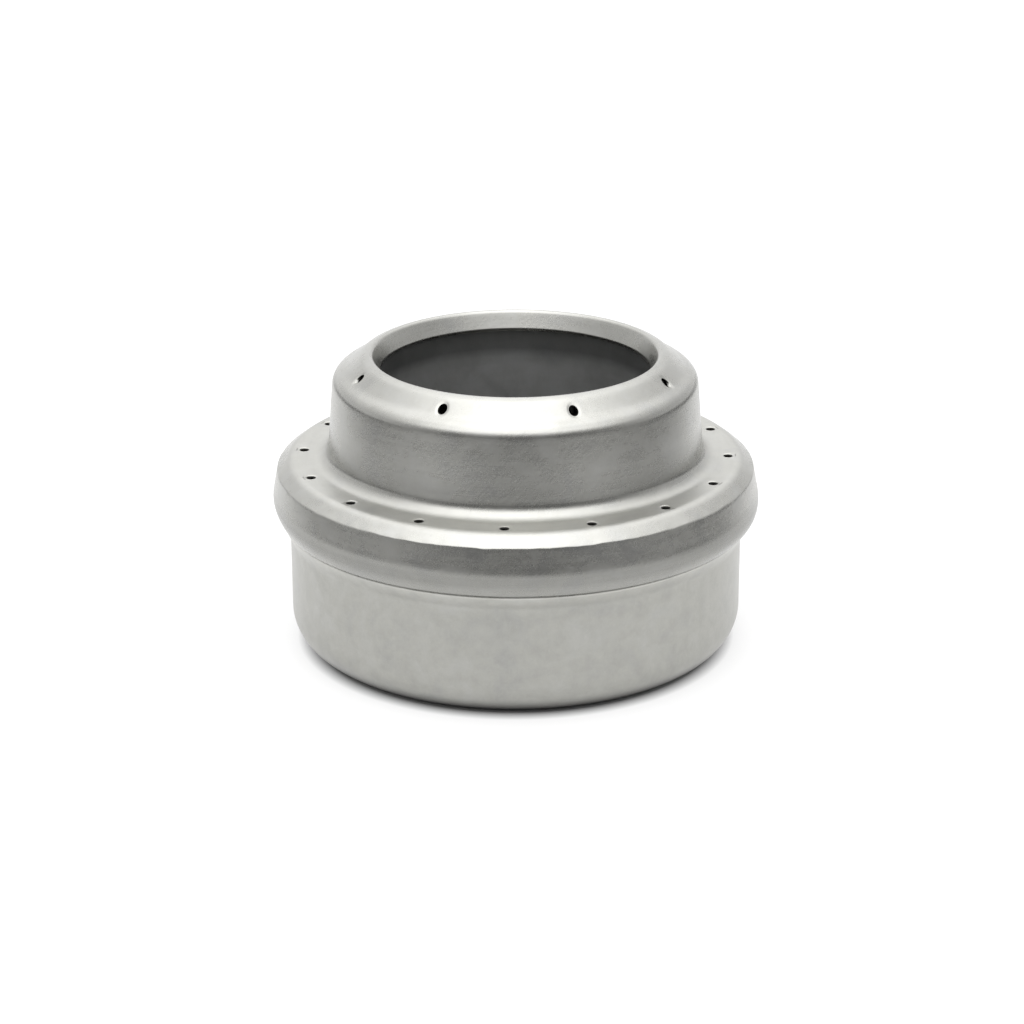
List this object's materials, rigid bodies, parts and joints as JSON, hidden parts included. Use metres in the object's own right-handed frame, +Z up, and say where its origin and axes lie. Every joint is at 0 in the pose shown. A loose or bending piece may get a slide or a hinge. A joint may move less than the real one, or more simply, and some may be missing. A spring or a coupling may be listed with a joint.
{
  "type": "spirit burner",
  "caption": "Low round double-wall camping spirit burner: plain cup below, bulging bead, flat jet shelf, collar and rounded crown with an open fuel well.",
  "frame": {"origin": "centre of the cup's flat underside, on the burner's axis", "axes": "+Z up along the burner's axis, through the open mouth; -Y is the front, +X is to the right seen from the front"},
  "size_m": [0.0719, 0.072, 0.044],
  "materials": {
    "cup_titanium": "matte bead-blasted titanium",
    "shell_titanium": "matte spun titanium with faint turning marks",
    "sleeve_titanium": "dull rolled titanium, darkened by use"
  },
  "bodies": {
    "root": {"base_cup": "cup_titanium", "burner_shell": "shell_titanium", "inner_sleeve": "sleeve_titanium"}
  },
  "joints": []
}
